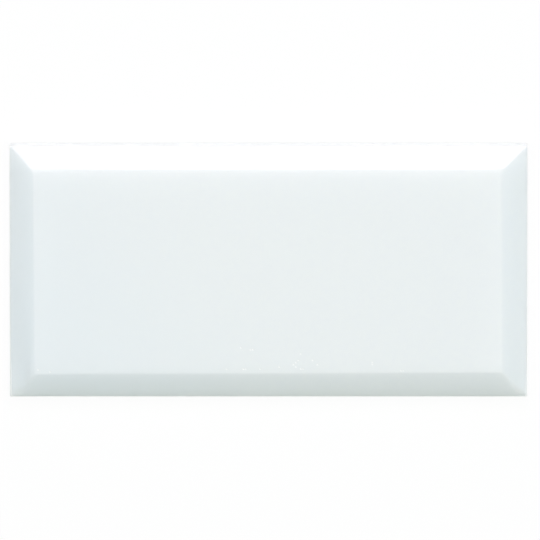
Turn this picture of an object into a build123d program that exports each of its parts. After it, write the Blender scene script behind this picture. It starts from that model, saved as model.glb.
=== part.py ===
"""Bevelled marble wall tile: one slab of white marble, sawn to size, with its face and four bevels polished.

The tile lies on its sawn back with the polished face up. The origin is the centre of the back, +X runs along
the length, +Y along the width and +Z out of the polished face. Every size is in millimetres.
"""

import os

from build123d import *

# Slab, sawn for a 6 by 3 inch module with one joint of an eighth of an inch between tiles
MODULE_LENGTH = 152.4
MODULE_WIDTH = 76.2
JOINT = 3.2
THICKNESS = 9.5

# Bevel, ground on all four sides of the face: its run is seen from the front, and the wall is what it leaves
BEVEL_RUN = 7.0
WALL_HEIGHT = 6.0

# Edges: the polisher rounds the ridges, and a hand stone only breaks the sharp arrises of the sawn wall
RIDGE_RADIUS = 1.5
ARRIS_RADIUS = 0.4

# What the saw and the grinding wheel are set to
TILE_LENGTH = MODULE_LENGTH - JOINT
TILE_WIDTH = MODULE_WIDTH - JOINT
BEVEL_DROP = THICKNESS - WALL_HEIGHT

# How far an edge may lean from level or upright, as the Z part of its direction, and still count as that
LEAN = 1e-6
# How far above the wall an edge may lie and still count as the wall's own
TOUCH = 0.01


def polished_face(tile: Part) -> Face:
    """The flat top of the tile."""
    return tile.faces().sort_by(Axis.Z)[-1]


def mitres(tile: Part) -> ShapeList[Edge]:
    """The four slanting lines where neighbouring bevels meet: the only edges neither level nor upright."""
    return tile.edges().filter_by(lambda edge: LEAN < abs(edge.tangent_at(0.5).Z) < 1 - LEAN)


def wall_arrises(tile: Part) -> ShapeList[Edge]:
    """The rim at the foot of the bevels and the four upright corners, but not the edges of the back."""
    return tile.edges().filter_by_position(Axis.Z, TOUCH, WALL_HEIGHT + TOUCH)


def sawn_slab() -> Part:
    """The blank as it leaves the saw, standing on its back."""
    return Box(TILE_LENGTH, TILE_WIDTH, THICKNESS, align=(Align.CENTER, Align.CENTER, Align.MIN))


def grind_bevels(slab: Part) -> Part:
    """Cuts the bevels, wide and shallow, all round the face."""
    face = polished_face(slab)
    return chamfer(face.edges(), length=BEVEL_RUN, length2=BEVEL_DROP, reference=face)


def ease_edges(tile: Part) -> Part:
    """Rounds the polished ridges, then breaks the arrises of the wall. The back keeps its sawn edges."""
    tile = fillet(polished_face(tile).edges() + mitres(tile), RIDGE_RADIUS)
    return fillet(wall_arrises(tile), ARRIS_RADIUS)


tile = ease_edges(grind_bevels(sawn_slab()))

os.makedirs("parts", exist_ok=True)
export_step(tile, "parts/tile.step")
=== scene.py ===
"""Bevelled white marble tile, dressed and lit: one sawn and polished slab, lying face up on a white table.

Blender works in metres. The tile lies on its back, with +X along its length, +Y along its width and +Z out of
its polished face. Front is the -Y side, which is the lower edge in the main view.
"""

import logging
import math
from collections.abc import Callable
from dataclasses import dataclass, field
from enum import Enum
from typing import Any, Optional, Union

import bpy
import numpy as np
from mathutils import Matrix, Vector


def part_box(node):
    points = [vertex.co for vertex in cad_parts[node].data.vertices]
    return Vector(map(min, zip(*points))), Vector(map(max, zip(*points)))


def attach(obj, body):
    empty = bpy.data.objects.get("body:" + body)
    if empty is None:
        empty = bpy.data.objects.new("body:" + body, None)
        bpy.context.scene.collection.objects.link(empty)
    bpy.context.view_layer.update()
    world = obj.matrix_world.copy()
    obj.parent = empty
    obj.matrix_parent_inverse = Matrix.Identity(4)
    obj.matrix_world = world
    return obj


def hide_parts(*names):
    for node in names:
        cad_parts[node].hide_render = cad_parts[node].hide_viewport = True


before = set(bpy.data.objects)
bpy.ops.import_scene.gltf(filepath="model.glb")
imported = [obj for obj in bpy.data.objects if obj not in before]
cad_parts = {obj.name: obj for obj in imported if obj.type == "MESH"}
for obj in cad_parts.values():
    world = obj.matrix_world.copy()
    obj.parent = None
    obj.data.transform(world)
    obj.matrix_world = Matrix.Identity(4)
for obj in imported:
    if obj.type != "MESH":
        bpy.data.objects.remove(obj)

LOG = logging.getLogger("marble_tile")
MM = 0.001
NODE = "tile"
BODY = "root"
# The picture is square, and its side is this many pixels
PICTURE = 540

Colour = tuple[float, float, float]
Direction = tuple[float, float, float]
Radii = tuple[float, float, float, float]
Relief = Callable[[np.ndarray], np.ndarray]
Operand = Union["Value", float]


class Surface(Enum):
    """The finishes of the slab. Each value is the place of its material on the mesh."""

    POLISHED = 0
    SAWN_EDGE = 1
    SAWN_BACK = 2


class Value:
    """One output socket of a node tree. Arithmetic on it adds Math nodes to that tree."""

    def __init__(self, graph: "Graph", socket: bpy.types.NodeSocket) -> None:
        """Keeps the socket, and the graph that takes the new nodes."""
        self.graph = graph
        self.socket = socket

    def output(self, name: str) -> "Value":
        """Another output of the same node, by name."""
        return Value(self.graph, self.socket.node.outputs[name])

    def _math(self, operation: str, first: Operand, second: Operand = 0.0) -> "Value":
        """One Math node on two operands."""
        sockets = {"Value": first, "Value_001": second}
        return self.graph.add("ShaderNodeMath", {"operation": operation}, sockets)

    def __add__(self, other: Operand) -> "Value":
        """self + other"""
        return self._math("ADD", self, other)

    def __radd__(self, other: Operand) -> "Value":
        """other + self"""
        return self._math("ADD", other, self)

    def __mul__(self, other: Operand) -> "Value":
        """self * other"""
        return self._math("MULTIPLY", self, other)

    def __rmul__(self, other: Operand) -> "Value":
        """other * self"""
        return self._math("MULTIPLY", other, self)

    def sine(self) -> "Value":
        """The sine of self, in radians."""
        return self._math("SINE", self)


class Graph:
    """The node tree of one material or world."""

    def __init__(self, tree: bpy.types.NodeTree) -> None:
        """Empties the tree."""
        self.tree = tree
        tree.nodes.clear()

    def add(
        self,
        kind: str,
        settings: Optional[dict[str, Any]] = None,
        sockets: Optional[dict[str, Any]] = None,
        output: Optional[str] = None,
    ) -> Value:
        """Adds one node.

        Args:
            kind: The node's type, such as ShaderNodeTexNoise.
            settings: Its own settings, set before its sockets.
            sockets: A number, tuple or Value for each socket, by identifier.
            output: The output wanted, by name. The first one that is on, if left out.

        Returns:
            The wanted output.
        """
        node = self.tree.nodes.new(kind)
        for name, setting in (settings or {}).items():
            setattr(node, name, setting)
        for name, given in (sockets or {}).items():
            self._feed(next(s for s in node.inputs if s.identifier == name), given)
        if output is None:
            return Value(self, next((s for s in node.outputs if s.enabled), None))
        return Value(self, node.outputs[output])

    def finish(self, kind: str, shader: Value) -> None:
        """Links the last shader to an output node of the given type."""
        self.add(kind, sockets={"Surface": shader})

    def mix(self, share: Operand, first: Any, second: Any) -> Value:
        """Mixes two colours.

        Args:
            share: How much of the second colour shows, from 0 to 1.
            first: A colour, or a Value that carries one.
            second: The same.

        Returns:
            The mixed colour.
        """
        sockets = {"Factor_Float": share, "A_Color": first, "B_Color": second}
        return self.add("ShaderNodeMix", {"data_type": "RGBA"}, sockets)

    def place(self) -> Value:
        """The point that is shaded, in its object's own frame."""
        return self.add("ShaderNodeTexCoord", output="Object")

    def along(self, place: Value, way: Direction) -> Value:
        """How far a point lies along a direction, times that direction's length."""
        sockets = {"Vector": place, "Vector_001": way}
        return self.add("ShaderNodeVectorMath", {"operation": "DOT_PRODUCT"}, sockets, "Value")

    def distance(self, place: Value) -> Value:
        """How far a point lies from the origin."""
        return self.add("ShaderNodeVectorMath", {"operation": "LENGTH"}, {"Vector": place}, "Value")

    def rise(self, value: Value, start: float, end: float) -> Value:
        """A smooth rise from 0, where the value is at its start, to 1, where it is at its end."""
        sockets = {"Value": value, "From Min": start, "From Max": end}
        return self.add("ShaderNodeMapRange", {"interpolation_type": "SMOOTHSTEP"}, sockets, "Result")

    def noise(self, place: Value, size: float, detail: float = 2.0) -> Value:
        """Soft noise from 0 to 1.

        Args:
            place: Where it is read.
            size: About how wide its features are, in metres.
            detail: How many finer layers it has.

        Returns:
            The noise.
        """
        sockets = {"Vector": place, "Scale": 1 / size, "Detail": detail}
        return self.add("ShaderNodeTexNoise", None, sockets, "Fac")

    def bump(self, height: Value, depth: float) -> Value:
        """A normal for a relief.

        Args:
            height: The relief, from 0 to 1.
            depth: How high 1 stands above 0, in metres.

        Returns:
            The bumped normal.
        """
        sockets = {"Height": height, "Distance": depth, "Strength": 1.0}
        return self.add("ShaderNodeBump", None, sockets, "Normal")

    def is_seen(self) -> Value:
        """One on rays that show a thing, straight or in a reflection, and zero on rays that only light it."""
        path = self.add("ShaderNodeLightPath", output="Is Camera Ray")
        return path + path.output("Is Glossy Ray") + path.output("Is Transmission Ray")

    def _feed(self, socket: bpy.types.NodeSocket, given: Any) -> None:
        """Links or sets one input socket.

        Args:
            socket: The socket.
            given: A Value to link, a colour without its alpha, or what the socket holds.
        """
        if isinstance(given, Value):
            self.tree.links.new(given.socket, socket)
        elif isinstance(given, tuple) and socket.type == "RGBA":
            socket.default_value = (*given, 1.0)
        else:
            socket.default_value = given


@dataclass(frozen=True)
class Stone:
    """What every face of the slab shares: the marble itself, which light soaks into before it comes back."""

    body: Colour = (0.814, 0.847, 0.850)
    cloud: Colour = (0.796, 0.828, 0.850)
    cloud_size: float = 38 * MM
    cloud_detail: float = 3.0
    # The colour turns cooler and a little darker towards the front left corner: which way, and how far out
    # that starts and ends
    cool: Colour = (0.779, 0.825, 0.856)
    cool_way: Direction = (-0.8, -0.6, 0.0)
    cool_start: float = 0 * MM
    cool_end: float = 75 * MM
    crystal_size: float = 1.3 * MM
    # How far red, green and blue light soak in, as shares of a finish's own depth
    soak: Colour = (1.0, 1.0, 1.0)
    ior: float = 1.5
    dust_softness: float = 0.3

    def clouds(self, graph: Graph, place: Value) -> Value:
        """Wide faint clouds, from 0 to 1."""
        return graph.noise(place, self.cloud_size, self.cloud_detail)

    def coolness(self, graph: Graph, place: Value) -> Value:
        """How far the colour has turned cool, from 0 to 1."""
        return graph.rise(graph.along(place, self.cool_way), self.cool_start, self.cool_end)

    def crystals(self, graph: Graph, place: Value) -> Value:
        """A mosaic of calcite crystals.

        Args:
            graph: The material's tree.
            place: Where it is read.

        Returns:
            The tone of each crystal, from 0 to 1.
        """
        sockets = {"Vector": place, "Scale": 1 / self.crystal_size}
        cells = graph.add("ShaderNodeTexVoronoi", None, sockets, "Color")
        return graph.add("ShaderNodeSeparateColor", None, {"Color": cells}, "Red")

    def shader(
        self, graph: Graph, colour: Value, roughness: Value, normal: Value, soak_depth: float, dusting: float
    ) -> Value:
        """The marble under one finish.

        Args:
            graph: The material's tree.
            colour: The colour all over.
            roughness: The gloss all over.
            normal: The fine relief.
            soak_depth: How far light spreads in it, in metres.
            dusting: How much stone dust is on it, from 0 to 1. It shows at a low angle.

        Returns:
            The shader.
        """
        sockets = {
            "Base Color": colour,
            "Roughness": roughness,
            "Normal": normal,
            "IOR": self.ior,
            "Subsurface Weight": 1.0,
            "Subsurface Radius": self.soak,
            "Subsurface Scale": soak_depth,
            "Sheen Weight": dusting,
            "Sheen Roughness": self.dust_softness,
        }
        return graph.add("ShaderNodeBsdfPrincipled", None, sockets)


@dataclass(frozen=True)
class PolishedMarble:
    """The face and the bevels: ground flat and polished to a clear gloss, with a few bruised pits."""

    stone: Stone
    bruise: Colour = (0.96, 0.97, 0.97)
    soak_depth: float = 10.0 * MM
    crystal_share: float = 0.35
    gloss: float = 0.11
    gloss_spread: float = 0.05
    ripple_size: float = 3.0 * MM
    ripple_depth: float = 0.0004 * MM

    def material(self) -> bpy.types.Material:
        """Builds the material.

        Returns:
            The material.
        """
        made = new_material("polished_marble")
        graph = Graph(made.node_tree)
        place = graph.place()
        crystals = self.stone.crystals(graph, place)
        tone = (1 - self.crystal_share) * self.stone.clouds(graph, place) + self.crystal_share * crystals
        colour = graph.mix(tone, self.stone.body, self.stone.cloud)
        colour = graph.mix(self.stone.coolness(graph, place), colour, self.stone.cool)
        bruised = graph.add("ShaderNodeAttribute", {"attribute_name": MarbleTile.BRUISE}, output="Fac")
        colour = graph.mix(bruised, colour, self.bruise)
        roughness = self.gloss + self.gloss_spread * (crystals + bruised)
        normal = graph.bump(graph.noise(place, self.ripple_size), self.ripple_depth)
        shader = self.stone.shader(graph, colour, roughness, normal, self.soak_depth, dusting=0.0)
        graph.finish("ShaderNodeOutputMaterial", shader)
        return made


@dataclass(frozen=True)
class SawnMarble:
    """A face as the saw leaves it: matt, paler in its dust, with fine parallel marks of the blade."""

    stone: Stone
    name: str
    # Which way the marks step on, and how far apart they are
    step: Direction
    pitch: float
    dust: Colour = (0.93, 0.94, 0.935)
    dust_size: float = 6 * MM
    dust_detail: float = 4.0
    dust_cover: float = 0.75
    dusting: float = 1.0
    soak_depth: float = 3.0 * MM
    roughness: float = 0.5
    roughness_spread: float = 0.2
    # How far the marks wander, in radians of their own wave, and how wide the bends are
    wander: float = 2.5
    wander_size: float = 9 * MM
    grain_size: float = 0.5 * MM
    grain_detail: float = 3.0
    mark_share: float = 0.45
    relief_depth: float = 0.012 * MM

    def marks(self, graph: Graph, place: Value) -> Value:
        """The blade's fine marks.

        Args:
            graph: The material's tree.
            place: Where they are read.

        Returns:
            The marks, from 0 to 1.
        """
        turns = math.tau / self.pitch * graph.along(place, self.step)
        wander = self.wander * graph.noise(place, self.wander_size)
        return 0.5 + 0.5 * (turns + wander).sine()

    def material(self) -> bpy.types.Material:
        """Builds the material.

        Returns:
            The material.
        """
        made = new_material(self.name)
        graph = Graph(made.node_tree)
        place = graph.place()
        grain = graph.noise(place, self.grain_size, self.grain_detail)
        marks = self.marks(graph, place)
        dust = graph.noise(place, self.dust_size, self.dust_detail)
        colour = graph.mix(self.stone.clouds(graph, place), self.stone.body, self.stone.cloud)
        colour = graph.mix(self.dust_cover + (1 - self.dust_cover) * (dust * marks), colour, self.dust)
        roughness = self.roughness + self.roughness_spread * dust
        relief = self.mark_share * marks + (1 - self.mark_share) * grain
        normal = graph.bump(relief, self.relief_depth)
        shader = self.stone.shader(graph, colour, roughness, normal, self.soak_depth, self.dusting)
        graph.finish("ShaderNodeOutputMaterial", shader)
        return made


def new_material(name: str) -> bpy.types.Material:
    """Makes an empty material with nodes.

    Args:
        name: Its name.

    Returns:
        The material.
    """
    made = bpy.data.materials.new(name)
    made.use_nodes = True
    return made


@dataclass(frozen=True)
class Ring:
    """One closed line round the tile, all at one height.

    Attributes:
        share: How far in it lies: 0 on the outline, 1 on the line where face and bevel meet.
        height: Its height above the back.
        corners: The radii of its corners, seen from above, counter-clockwise from the front left.
        below: The finish of the band under it.
    """

    share: float
    height: float
    corners: Radii
    below: Surface


@dataclass(frozen=True)
class Pit:
    """A bruised pit in the polish, a fraction of a millimetre wide. Its sizes are in millimetres."""

    x: float
    y: float
    radius: float

    # How deep a pit is for its radius, and how wide and how low its floor is for its own width and depth
    DEPTH = 0.4
    FLOOR_WIDTH = 0.55
    FLOOR_DEPTH = 0.8
    # The sides of its edge, of which the first faces a cell's first corner, and how uneven they are
    SIDES = 8
    FIRST_SIDE = 5 / 8
    UNEVEN = (0.75, 1.1)
    # How bruised the stone is on its edge, its floor and its bottom
    EDGE_BRUISE = 0.35
    FLOOR_BRUISE = 0.8
    BOTTOM_BRUISE = 1.0


# Pits in the polish, from the middle of the face: most lie near its front line
PITS = [
    Pit(-7.8, -21.8, 0.26),
    Pit(-4.6, -22.7, 0.25),
    Pit(-5.3, -22.3, 0.18),
    Pit(9.0, -23.4, 0.16),
    Pit(8.3, -25.4, 0.27),
    Pit(7.7, -26.0, 0.24),
    Pit(7.0, -26.7, 0.20),
    Pit(7.6, -27.4, 0.22),
    Pit(12.8, -25.6, 0.27),
    Pit(13.8, -26.6, 0.20),
    Pit(3.4, -27.2, 0.25),
    Pit(-7.2, -28.0, 0.26),
    Pit(-6.5, -28.0, 0.18),
    Pit(-2.5, -28.3, 0.18),
    Pit(9.0, -28.0, 0.25),
    Pit(9.7, -28.0, 0.18),
    Pit(-12.2, -28.3, 0.20),
    Pit(-66.2, -28.0, 0.20),
    Pit(-63.0, -28.7, 0.20),
    Pit(29.7, -25.8, 0.22),
    Pit(29.7, -26.5, 0.16),
    Pit(38.4, -28.5, 0.24),
    Pit(39.1, -28.4, 0.16),
]


@dataclass
class MarbleTile:
    """The slab: a polished face inside four bevels, sawn walls under them and a sawn back.

    Its sizes are in metres. The length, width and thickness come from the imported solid.
    """

    low: Vector
    high: Vector
    bevel_run: float = 7.0 * MM
    wall_height: float = 6.0 * MM
    ridge_radius: float = 3.0 * MM
    # The shares of the ridge's turn that the polishing pads spread over the face and down the bevel beside it
    face_roll: float = 0.18
    bevel_roll: float = 0.4
    bevel_roll_reach: float = 1.8 * MM
    # How far the roll reaches over the face, from its two sides, its front and its rear
    side_roll_reach: float = 1.6 * MM
    front_roll_reach: float = 2.9 * MM
    rear_roll_reach: float = 8.0 * MM
    arris_radius: float = 0.4 * MM
    back_arris: float = 0.12 * MM
    # Corner radii seen from above, on the face, down the mitres and along the walls
    face_corner: float = 0.3 * MM
    mitre_corner: float = 0.5 * MM
    wall_corner: float = 0.4 * MM
    # The front mitres are dubbed over: the radii that they open to above the rim, seen from above
    front_left_dub: float = 2.0 * MM
    front_right_dub: float = 2.0 * MM
    # They also bow out into the front bevel, at most by this much in X
    front_left_bow: float = 1.4 * MM
    front_right_bow: float = 0.7 * MM
    bow_reach: float = 12 * MM
    # The grinder ran a little askew: how far each corner of the face is off, in X and Y
    front_left_off: tuple[float, float] = (0.14 * MM, -0.33 * MM)
    front_right_off: tuple[float, float] = (-0.10 * MM, 0.08 * MM)
    rear_right_off: tuple[float, float] = (-0.50 * MM, -0.15 * MM)
    rear_left_off: tuple[float, float] = (-0.34 * MM, -0.18 * MM)
    # Waves that the polishing heads leave in the face: the crests sway, and a second wave crosses them
    polish_wave: float = 26 * MM
    polish_depth: float = 0.006 * MM
    polish_sway: float = 0.6
    polish_sway_rate: float = 0.7
    polish_cross_rate: float = 0.8
    polish_cross_start: float = 1.1
    # Marks of the block saw on the back: arcs about the blade's far centre, which sway and fade in and out
    blade_centre: tuple[float, float] = (-210 * MM, -520 * MM)
    saw_pitch: float = 5.5 * MM
    saw_depth: float = 0.05 * MM
    saw_sway: float = 1.4
    saw_sway_rate: float = 0.31
    saw_fade: float = 0.4
    saw_fade_rate: float = 0.137
    saw_fade_start: float = 0.8
    # The mesh: how many cells it has, and how many of them each half corner takes
    columns: int = 200
    rows: int = 98
    corner_cells: int = 3
    ridge_steps: int = 8
    bevel_steps: int = 12
    arris_steps: int = 5
    wall_steps: int = 6
    seed: int = 5
    # What the mesh is made of so far, and how bruised each point of a pit is
    verts: list[np.ndarray] = field(default_factory=list)
    faces: list[list[int]] = field(default_factory=list)
    finishes: list[Surface] = field(default_factory=list)
    pit_verts: dict[int, float] = field(default_factory=dict)

    # The mesh attribute that says how bruised the stone is, from 0 to 1
    BRUISE = "bruise"
    # This brings the highest value of share * (1 - share) ** 2, a third of the way up the bevel, to 1
    BOW_PEAK = 27 / 4

    @property
    def thickness(self) -> float:
        """From the back to the polished face."""
        return self.high.z - self.low.z

    @property
    def slope(self) -> float:
        """How steeply the bevels fall, in radians."""
        return math.atan2(self.thickness - self.wall_height, self.bevel_run)

    @property
    def face_roll_depth(self) -> float:
        """How far the face has rolled off where the ridge starts."""
        return self.side_roll_reach * math.tan(self.slope * self.face_roll)

    @property
    def outline(self) -> np.ndarray:
        """The four corners of the outline, counter-clockwise from the front left."""
        x, y = self.high.x, self.high.y
        return np.array([(-x, -y), (x, -y), (x, y), (-x, y)])

    @property
    def face_outline(self) -> np.ndarray:
        """The corners where the ridges of the face meet.

        Returns:
            The four corners, in the order of the outline's.
        """
        inward = -self.bevel_run * np.sign(self.outline)
        askew = np.array([self.front_left_off, self.front_right_off, self.rear_right_off, self.rear_left_off])
        return self.outline + inward + askew

    def build(self) -> bpy.types.Object:
        """Builds the slab's mesh and dresses it.

        Returns:
            The slab, which stands for the solid.
        """
        rings = self.profile()
        top, upper = self._add_grid(rings[0], self._polish_relief)
        self._add_faces(self._without_pits(top), Surface.POLISHED)
        for ring, lower_ring in zip(rings, rings[1:-1]):
            lower = self._add_ring(lower_ring)
            self._add_band(upper, lower, ring.below)
            upper = lower
        back, back_line = self._add_grid(rings[-1], self._saw_relief)
        self._add_band(upper, back_line, rings[-2].below)
        self._add_faces(back[:, :, ::-1], rings[-1].below)
        return self._make_object()

    def profile(self) -> list[Ring]:
        """The slab's section, from the flat of the face over the ridge and down to the back."""
        return [*self._ridge_rings(), *self._bevel_rings(), *self._arris_rings(), *self._wall_rings()]

    def _ridge_rings(self) -> list[Ring]:
        """The rounded ridge between the face and a bevel, which takes the middle part of the turn.

        Returns:
            Its rings, from the face down.
        """
        centre = self.bevel_run + self.ridge_radius * math.tan(self.slope / 2)
        first_angle = self.slope * self.face_roll
        last_angle = self.slope * (1 - self.bevel_roll)
        top = self.thickness - self.face_roll_depth + self.ridge_radius * (1 - math.cos(first_angle))
        rings = []
        for turn in np.linspace(0, 1, self.ridge_steps + 1):
            angle = first_angle + turn * (last_angle - first_angle)
            inset = centre - self.ridge_radius * math.sin(angle)
            height = top - self.ridge_radius * (1 - math.cos(angle))
            corners = (self.face_corner + turn * (self.mitre_corner - self.face_corner),) * 4
            rings.append(Ring(inset / self.bevel_run, height, corners, Surface.POLISHED))
        return rings

    def _bevel_rings(self) -> list[Ring]:
        """The bevel, between its two rounded edges: it rolls off beside the ridge and then runs straight.

        Returns:
            Its rings, from the ridge down, without the first and last, which its edges have.
        """
        first = self._ridge_rings()[-1]
        last = self._arris_rings()[0]
        way = np.linspace(0, 1, self.bevel_steps + 1)
        share = first.share + way * (last.share - first.share)
        gone = (first.share - share) * self.bevel_run
        reach = self.bevel_roll_reach
        lag = self.slope * self.bevel_roll * reach * (1 - np.exp(-gone / reach))
        drop = math.tan(self.slope) * gone - lag
        height = first.height + drop / drop[-1] * (last.height - first.height)
        dubs = (self.front_left_dub, self.front_right_dub, self.mitre_corner, self.mitre_corner)
        corners = [self._between(self.mitre_corner, dubs, down ** 2) for down in way]
        rings = [Ring(*place, Surface.POLISHED) for place in zip(share, height, corners)]
        return rings[1:-1]

    @staticmethod
    def _between(all_same: float, each: Radii, way: float) -> Radii:
        """Corner radii on the way from one for all corners to one for each."""
        front_left, front_right, rear_right, rear_left = (all_same + way * (own - all_same) for own in each)
        return front_left, front_right, rear_right, rear_left

    def _arris_rings(self) -> list[Ring]:
        """The arris between a bevel and the wall, broken with a hand stone and as matt as the wall.

        Returns:
            Its rings, from the bevel down.
        """
        turned = math.pi / 2 - self.slope
        wall_top = self.wall_height - self.arris_radius * math.tan(turned / 2)
        rings = []
        for turn in np.linspace(1, 0, self.arris_steps + 1):
            inset = self.arris_radius * (1 - math.cos(turn * turned))
            height = wall_top + self.arris_radius * math.sin(turn * turned)
            corners = (self.wall_corner + turn * (self.mitre_corner - self.wall_corner),) * 4
            rings.append(Ring(inset / self.bevel_run, height, corners, Surface.SAWN_EDGE))
        return rings

    def _wall_rings(self) -> list[Ring]:
        """The sawn wall, down to the broken edge of the back.

        Returns:
            Its rings, from the arris down. The last is the edge of the back.
        """
        top = self._arris_rings()[-1].height
        heights = np.linspace(top, self.back_arris, self.wall_steps + 1)[1:]
        corners = (self.wall_corner,) * 4
        rings = [Ring(0.0, height, corners, Surface.SAWN_EDGE) for height in heights]
        return [*rings, Ring(self.back_arris / self.bevel_run, 0.0, corners, Surface.SAWN_BACK)]

    def plan(self, ring: Ring) -> np.ndarray:
        """A ring seen from above.

        Args:
            ring: The ring.

        Returns:
            Its points, counter-clockwise from the middle of the front left corner.
        """
        corners = self.outline + ring.share * (self.face_outline - self.outline)
        ways = np.roll(corners, -1, axis=0) - corners
        ways /= np.linalg.norm(ways, axis=1, keepdims=True)
        quarter = np.linspace(0, math.pi / 2, 2 * self.corner_cells + 1)
        arcs = []
        for corner, radius, coming, going in zip(corners, ring.corners, np.roll(ways, 1, axis=0), ways):
            centre = corner + radius * (going - coming)
            turned = np.outer(np.sin(quarter), coming) - np.outer(np.cos(quarter), going)
            arcs.append(centre + radius * turned)
        line = []
        for side, cells in enumerate((self.columns, self.rows, self.columns, self.rows)):
            start = arcs[side][self.corner_cells:]
            end = arcs[(side + 1) % len(arcs)][: self.corner_cells]
            straight = np.linspace(start[-1], end[0], cells - 2 * self.corner_cells + 1)
            line.extend([start, straight[1:-1], end])
        return self._bow_mitres(np.vstack(line), ring.share, corners)

    def _bow_mitres(self, line: np.ndarray, share: float, corners: np.ndarray) -> np.ndarray:
        """Bows the two front mitres out into the front bevel.

        Args:
            line: A ring seen from above.
            share: How far in it lies.
            corners: Its four sharp corners.

        Returns:
            The ring with its front corners moved.
        """
        bowed = self.BOW_PEAK * share * (1 - share) ** 2
        for corner, bow in zip(corners, (self.front_left_bow, -self.front_right_bow)):
            off = np.linalg.norm(line - corner, axis=-1)
            line[:, 0] += bow * bowed * np.exp(-((off / self.bow_reach) ** 2))
        return line

    def _fill(self, line: np.ndarray) -> np.ndarray:
        """Fills a closed line with a grid of points, as a Coons patch between its four sides.

        Args:
            line: The line, as plan gives it.

        Returns:
            The points, by column and row.
        """
        columns, rows = self.columns, self.rows
        closed = np.vstack([line, line[:1]])
        front = closed[: columns + 1]
        right = closed[columns: columns + rows + 1]
        rear = closed[columns + rows: 2 * columns + rows + 1][::-1]
        left = closed[2 * columns + rows:][::-1]
        across = np.linspace(0, 1, columns + 1)[:, None, None]
        along = np.linspace(0, 1, rows + 1)[None, :, None]
        between_long = (1 - along) * front[:, None] + along * rear[:, None]
        between_short = (1 - across) * left[None] + across * right[None]
        front_line = (1 - across) * front[0] + across * front[-1]
        rear_line = (1 - across) * rear[0] + across * rear[-1]
        return between_long + between_short - ((1 - along) * front_line + along * rear_line)

    def _polish_relief(self, plan: np.ndarray) -> np.ndarray:
        """How the polished face rises from its ridges: it rolls off towards them, and has long low waves.

        Args:
            plan: The face's points seen from above, by column and row.

        Returns:
            The height of each point above the ridges.
        """
        along, across = np.moveaxis(plan * (math.tau / self.polish_wave), -1, 0)
        crests = np.sin(along + self.polish_sway * np.sin(self.polish_sway_rate * across))
        swell = crests * np.sin(self.polish_cross_rate * across + self.polish_cross_start)
        edges = (plan[:1], plan[-1:], plan[:, :1], plan[:, -1:])
        reaches = (self.side_roll_reach, self.side_roll_reach, self.front_roll_reach, self.rear_roll_reach)
        rise = np.ones(plan.shape[:2])
        for edge, reach in zip(edges, reaches):
            rise *= 1 - np.exp(-np.linalg.norm(plan - edge, axis=-1) / reach)
        return rise * (self.face_roll_depth - self.polish_depth * (1 + swell) / 2)

    def _saw_relief(self, plan: np.ndarray) -> np.ndarray:
        """How far the saw cut up into the back: arcs that come and go.

        Args:
            plan: The back's points seen from above, by column and row.

        Returns:
            The height of each point above the floor.
        """
        reach = np.linalg.norm(plan - np.array(self.blade_centre), axis=-1)
        turns = reach * (math.tau / self.saw_pitch)
        marks = (1 + np.sin(turns + self.saw_sway * np.sin(self.saw_sway_rate * turns))) / 2
        fade = np.sin(self.saw_fade_rate * turns + self.saw_fade_start)
        return self.saw_depth * marks * (1 - self.saw_fade + self.saw_fade * fade)

    def _add_verts(self, points: np.ndarray) -> np.ndarray:
        """Keeps some points.

        Args:
            points: The points.

        Returns:
            Their numbers.
        """
        start = sum(len(kept) for kept in self.verts)
        self.verts.append(points)
        return np.arange(start, start + len(points))

    def _add_faces(self, corners: np.ndarray, finish: Surface) -> None:
        """Keeps some faces.

        Args:
            corners: The numbers of each face's corners, on the last axis.
            finish: The finish of them all.
        """
        listed = corners.reshape(-1, corners.shape[-1]).tolist()
        self.faces.extend(listed)
        self.finishes.extend([finish] * len(listed))

    def _add_ring(self, ring: Ring) -> np.ndarray:
        """Keeps a ring's points, and returns their numbers."""
        plan = self.plan(ring)
        return self._add_verts(np.column_stack([plan, np.full(len(plan), ring.height)]))

    def _add_band(self, upper: np.ndarray, lower: np.ndarray, finish: Surface) -> None:
        """Joins two neighbouring rings, facing out."""
        self._add_faces(np.stack([lower, np.roll(lower, -1), np.roll(upper, -1), upper], axis=-1), finish)

    def _add_grid(self, ring: Ring, relief: Relief) -> tuple[np.ndarray, np.ndarray]:
        """Fills a ring with a grid of cells.

        Args:
            ring: The grid's edge.
            relief: A function of the plan that gives each point's height above the ring.

        Returns:
            The cells' corners, facing up, by column and row, and the numbers of the points on the ring.
        """
        plan = self._fill(self.plan(ring))
        height = ring.height + relief(plan)
        points = np.concatenate([plan, height[..., None]], axis=-1)
        number = self._add_verts(points.reshape(-1, 3)).reshape(plan.shape[:2])
        cells = np.stack([number[:-1, :-1], number[1:, :-1], number[1:, 1:], number[:-1, 1:]], axis=-1)
        line = np.concatenate([number[:-1, 0], number[-1, :-1], number[:0:-1, -1], number[0, :0:-1]])
        return cells, line

    def _without_pits(self, cells: np.ndarray) -> np.ndarray:
        """Sets a pit into the cell where each belongs.

        Args:
            cells: The corners of the face's cells, by column and row.

        Returns:
            The corners of the cells that stay whole.
        """
        draw = np.random.default_rng(self.seed)
        whole = np.ones(cells.shape[:2], bool)
        points = np.vstack(self.verts)
        middles = points[cells].mean(axis=2)[..., :2]
        for pit in PITS:
            gap = np.linalg.norm(middles - MM * np.array([pit.x, pit.y]), axis=-1)
            place = np.unravel_index(gap.argmin(), gap.shape)
            whole[place] = False
            self._add_pit(pit, cells[place], points, draw)
        return cells[whole]

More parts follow.
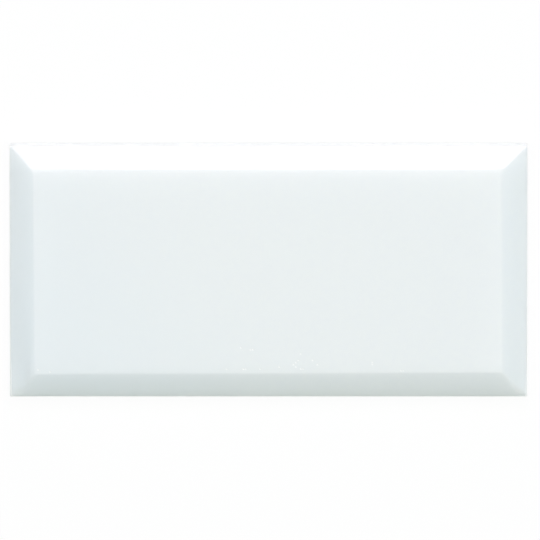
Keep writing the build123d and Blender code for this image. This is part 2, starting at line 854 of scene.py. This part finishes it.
    def _add_pit(self, pit: Pit, cell: np.ndarray, points: np.ndarray, draw: np.random.Generator) -> None:
        """Replaces one cell of the face with a pit.

        Args:
            pit: The pit.
            cell: The cell's four corners.
            points: The points so far.
            draw: Where its unevenness comes from.
        """
        middle = points[cell].mean(axis=0)
        turns = math.tau * (np.arange(pit.SIDES) / pit.SIDES + pit.FIRST_SIDE)
        uneven = draw.uniform(*pit.UNEVEN, pit.SIDES)
        spokes = np.column_stack([np.cos(turns), np.sin(turns), np.zeros(pit.SIDES)])
        out = MM * pit.radius * uneven[:, None] * spokes
        down = np.array([0, 0, MM * pit.radius * pit.DEPTH])
        edge_at = self._add_verts(middle + out)
        floor_at = self._add_verts(middle + pit.FLOOR_WIDTH * out - pit.FLOOR_DEPTH * down)
        bottom_at = np.repeat(self._add_verts((middle - down)[None]), pit.SIDES)
        self.pit_verts.update(dict.fromkeys(edge_at.tolist(), pit.EDGE_BRUISE))
        self.pit_verts.update(dict.fromkeys(floor_at.tolist(), pit.FLOOR_BRUISE))
        self.pit_verts.update(dict.fromkeys(bottom_at.tolist(), pit.BOTTOM_BRUISE))
        edge_on = np.roll(edge_at, -1)
        floor_on = np.roll(floor_at, -1)
        self._add_faces(np.stack([floor_at, edge_at, edge_on, floor_on], axis=-1), Surface.POLISHED)
        self._add_faces(np.stack([floor_at, floor_on, bottom_at], axis=-1), Surface.POLISHED)
        # Every second side faces a corner of the cell, and three faces there close the gap to it
        nears = edge_at[::2]
        befores = np.roll(edge_at, 1)[::2]
        afters = edge_on[::2]
        for corner, beyond, near, before, after in zip(cell, np.roll(cell, -1), nears, befores, afters):
            gap = np.array([(corner, near, before), (corner, after, near), (corner, beyond, after)])
            self._add_faces(gap, Surface.POLISHED)

    def _make_object(self) -> bpy.types.Object:
        """Makes the Blender object and hangs it in the frame.

        Returns:
            The slab.
        """
        mesh = bpy.data.meshes.new("marble_slab")
        mesh.from_pydata(np.vstack(self.verts).tolist(), [], self.faces)
        mesh.polygons.foreach_set("material_index", [finish.value for finish in self.finishes])
        mesh.polygons.foreach_set("use_smooth", [True] * len(self.faces))
        bruise = mesh.attributes.new(self.BRUISE, "FLOAT", "POINT")
        for number, strength in self.pit_verts.items():
            bruise.data[number].value = strength
        self._dress(mesh)
        mesh.update()
        slab = bpy.data.objects.new("marble_slab", mesh)
        bpy.context.scene.collection.objects.link(slab)
        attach(slab, BODY)
        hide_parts(NODE)
        return slab

    @staticmethod
    def _dress(mesh: bpy.types.Mesh) -> None:
        """Gives the mesh its three finishes, in the order of their values.

        Args:
            mesh: The slab's mesh.
        """
        stone = Stone()
        finishes = {
            Surface.POLISHED: PolishedMarble(stone),
            Surface.SAWN_EDGE: SawnMarble(stone, "sawn_marble_edge", step=(1.0, 1.0, 2.2), pitch=1.1 * MM),
            Surface.SAWN_BACK: SawnMarble(stone, "sawn_marble_back", step=(0.37, 0.93, 0.0), pitch=1.3 * MM),
        }
        for surface in Surface:
            mesh.materials.append(finishes[surface].material())


@dataclass(frozen=True)
class Softbox:
    """A lamp or a lit card with a soft front, aimed at the tile.

    Attributes:
        name: The lamp's name.
        azimuth: Where it stands, in degrees from +X towards +Y.
        elevation: How high it stands over the tile, in degrees.
        distance: How far off it stands, in metres.
        size: Its width and height, in metres.
        brightness: Its power for each square metre of its front, in watts over pi.
        colour: The colour of its light.
        mirrored: Whether its front shows in polished faces.
    """

    name: str
    azimuth: float
    elevation: float
    distance: float
    size: tuple[float, float]
    brightness: float
    colour: Colour = (1.0, 1.0, 1.0)
    mirrored: bool = True

    def build(self, aim: Vector) -> bpy.types.Object:
        """Makes the lamp.

        Args:
            aim: The point that it faces.

        Returns:
            The lamp.
        """
        light = bpy.data.lights.new(self.name, "AREA")
        light.shape = "RECTANGLE"
        light.size, light.size_y = self.size
        light.energy = self.brightness * math.pi * self.size[0] * self.size[1]
        light.color = self.colour
        lamp = bpy.data.objects.new(self.name, light)
        lamp.visible_camera = False
        lamp.visible_glossy = self.mirrored
        turn, rise = math.radians(self.azimuth), math.radians(self.elevation)
        way = Vector((math.cos(rise) * math.cos(turn), math.cos(rise) * math.sin(turn), math.sin(rise)))
        lamp.location = aim + self.distance * way
        lamp.rotation_euler = way.to_track_quat("Z", "Y").to_euler()
        bpy.context.scene.collection.objects.link(lamp)
        return lamp


# The colours of the lamps at the sides and of the cards in front
SIDE_LIGHT = (0.75, 0.915, 1.0)
CARD_LIGHT = (0.62, 1.0, 0.58)

LAMPS = (
    Softbox(
        name="key_softbox",
        azimuth=89,
        elevation=48,
        distance=2.0,
        size=(0.36, 0.56),
        brightness=8.0,
        colour=(0.79, 0.75, 1.0),
    ),
    Softbox(
        name="top_softbox",
        azimuth=90,
        elevation=77,
        distance=1.5,
        size=(1.6, 1.6),
        brightness=2.34,
        colour=(1.0, 0.943, 0.905),
    ),
    Softbox(
        name="rear_strip",
        azimuth=90,
        elevation=5,
        distance=1.2,
        size=(1.2, 0.18),
        brightness=5.8,
        mirrored=False,
    ),
    Softbox(
        name="left_softbox",
        azimuth=180,
        elevation=40,
        distance=1.2,
        size=(0.8, 0.8),
        brightness=1.24,
        colour=SIDE_LIGHT,
    ),
    Softbox(
        name="right_softbox",
        azimuth=0,
        elevation=40,
        distance=1.2,
        size=(0.8, 0.8),
        brightness=1.63,
        colour=SIDE_LIGHT,
    ),
    Softbox(
        name="front_left_card",
        azimuth=240,
        elevation=41,
        distance=1.2,
        size=(0.336, 0.336),
        brightness=1.9,
        colour=CARD_LIGHT,
        mirrored=False,
    ),
    Softbox(
        name="front_right_card",
        azimuth=300,
        elevation=41,
        distance=1.2,
        size=(0.336, 0.336),
        brightness=1.84,
        colour=CARD_LIGHT,
        mirrored=False,
    ),
)


@dataclass
class Studio:
    """The white table, the soft lamps and the camera over them. Its sizes are in metres."""

    tile: MarbleTile
    lamps: tuple[Softbox, ...] = LAMPS
    # The camera leans over from straight above towards the rear, in degrees
    lean: float = 7.75
    # It stands so far off that the tile's sides look parallel, and it sees this far
    camera_distance: float = 4.8
    camera_reach: float = 48.0
    # The width of its sensor, in millimetres
    sensor: float = 36.0
    # Where the outline lies in the picture, in pixels
    outline_left: float = 9.70
    outline_right: float = 527.31
    outline_top: float = 145.5
    outline_bottom: float = 396.87
    # The table shows a painted pool of white light near the tile, which fades to the grey of the room between
    # these two reaches
    table_white_reach: float = 0.2
    table_grey_reach: float = 1.2
    room_grey: float = 0.79
    # How much of the table's white is lit by the lamps, and so takes the tile's shadow
    table_lit: float = 0.09
    # How much light the table throws back on the tile
    table_bounce: float = 0.95
    table_half: float = 6.0
    table_gap: float = 0.05 * MM
    ambient: float = 0.05
    ambient_colour: Colour = (0.9, 1.0, 1.0)

    @property
    def aim(self) -> Vector:
        """The middle of the tile's outline, which lies at the top of its walls."""
        return Vector((0.0, 0.0, self.tile.wall_height))

    def build(self) -> None:
        """Sets up the table, the light and the camera."""
        self._make_table()
        self._make_room()
        for lamp in self.lamps:
            lamp.build(self.aim)
        self._make_camera()
        bpy.context.scene.view_settings.view_transform = "Standard"

    def _make_table(self) -> None:
        """A white table under the tile."""
        half = self.table_half
        corners = [(-half, -half, 0), (half, -half, 0), (half, half, 0), (-half, half, 0)]
        mesh = bpy.data.meshes.new("floor")
        mesh.from_pydata(corners, [], [(0, 1, 2, 3)])
        mesh.materials.append(self._table_material())
        table = bpy.data.objects.new("floor", mesh)
        table.location.z = self.tile.low.z - self.table_gap
        bpy.context.scene.collection.objects.link(table)

    def _table_material(self) -> bpy.types.Material:
        """The table's finish: a painted pool of white light near the tile, with the tile's faint shadow in
        it, and grey further off.

        Returns:
            The material.
        """
        made = new_material("white_table")
        graph = Graph(made.node_tree)
        # Painted pool of light: the glow seen on the table is white near the tile and grey further off
        far = graph.rise(graph.distance(graph.place()), self.table_white_reach, self.table_grey_reach)
        glow = graph.mix(far, (1.0 - self.table_lit,) * 3, (self.room_grey,) * 3)
        caught = graph.mix(far, (self.table_lit,) * 3, (0.0, 0.0, 0.0))
        shown = graph.add("ShaderNodeEmission", None, {"Color": glow})
        lit = graph.add("ShaderNodeBsdfDiffuse", None, {"Color": caught})
        seen = graph.add("ShaderNodeAddShader", None, {"Shader": shown, "Shader_001": lit})
        plain = graph.add("ShaderNodeBsdfDiffuse", None, {"Color": (self.table_bounce,) * 3})
        sockets = {"Fac": graph.is_seen(), "Shader": plain, "Shader_001": seen}
        graph.finish("ShaderNodeOutputMaterial", graph.add("ShaderNodeMixShader", None, sockets))
        return made

    def _make_room(self) -> None:
        """An even room round the table: a little soft light on the tile, and pale grey where it is seen."""
        room = bpy.data.worlds.new("pale_room")
        room.use_nodes = True
        graph = Graph(room.node_tree)
        soft = {"Color": self.ambient_colour, "Strength": self.ambient}
        pale = {"Color": (1.0, 1.0, 1.0), "Strength": self.room_grey}
        lighting = graph.add("ShaderNodeBackground", None, soft)
        seen = graph.add("ShaderNodeBackground", None, pale)
        sockets = {"Fac": graph.is_seen(), "Shader": lighting, "Shader_001": seen}
        graph.finish("ShaderNodeOutputWorld", graph.add("ShaderNodeMixShader", None, sockets))
        bpy.context.scene.world = room

    def _make_camera(self) -> None:
        """Looks down on the face, with the outline where the picture has it."""
        pixel = 2 * self.tile.high.x / (self.outline_right - self.outline_left)
        right = PICTURE / 2 - (self.outline_left + self.outline_right) / 2
        up = (self.outline_top + self.outline_bottom) / 2 - PICTURE / 2
        lean = math.radians(self.lean)
        across = Vector((1.0, 0.0, 0.0))
        upward = Vector((0.0, math.cos(lean), -math.sin(lean)))
        towards = Vector((0.0, math.sin(lean), math.cos(lean)))
        data = bpy.data.cameras.new("camera")
        data.sensor_width = self.sensor
        data.lens = self.sensor * self.camera_distance / (PICTURE * pixel)
        data.clip_end = self.camera_reach
        camera = bpy.data.objects.new("camera", data)
        middle = self.aim + pixel * (right * across + up * upward)
        camera.location = middle + self.camera_distance * towards
        camera.rotation_euler = Matrix((across, upward, towards)).transposed().to_euler()
        bpy.context.scene.collection.objects.link(camera)
        bpy.context.scene.camera = camera


def main() -> None:
    """Builds the tile and its studio."""
    logging.basicConfig(level=logging.INFO, format="%(name)s: %(message)s")
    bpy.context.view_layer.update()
    tile = MarbleTile(*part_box(NODE))
    slab = tile.build()
    LOG.info("%s: %d faces", slab.name, len(slab.data.polygons))
    studio = Studio(tile)
    studio.build()
    LOG.info("studio: %d lamps", len(studio.lamps))


if __name__ == "__main__":
    main()
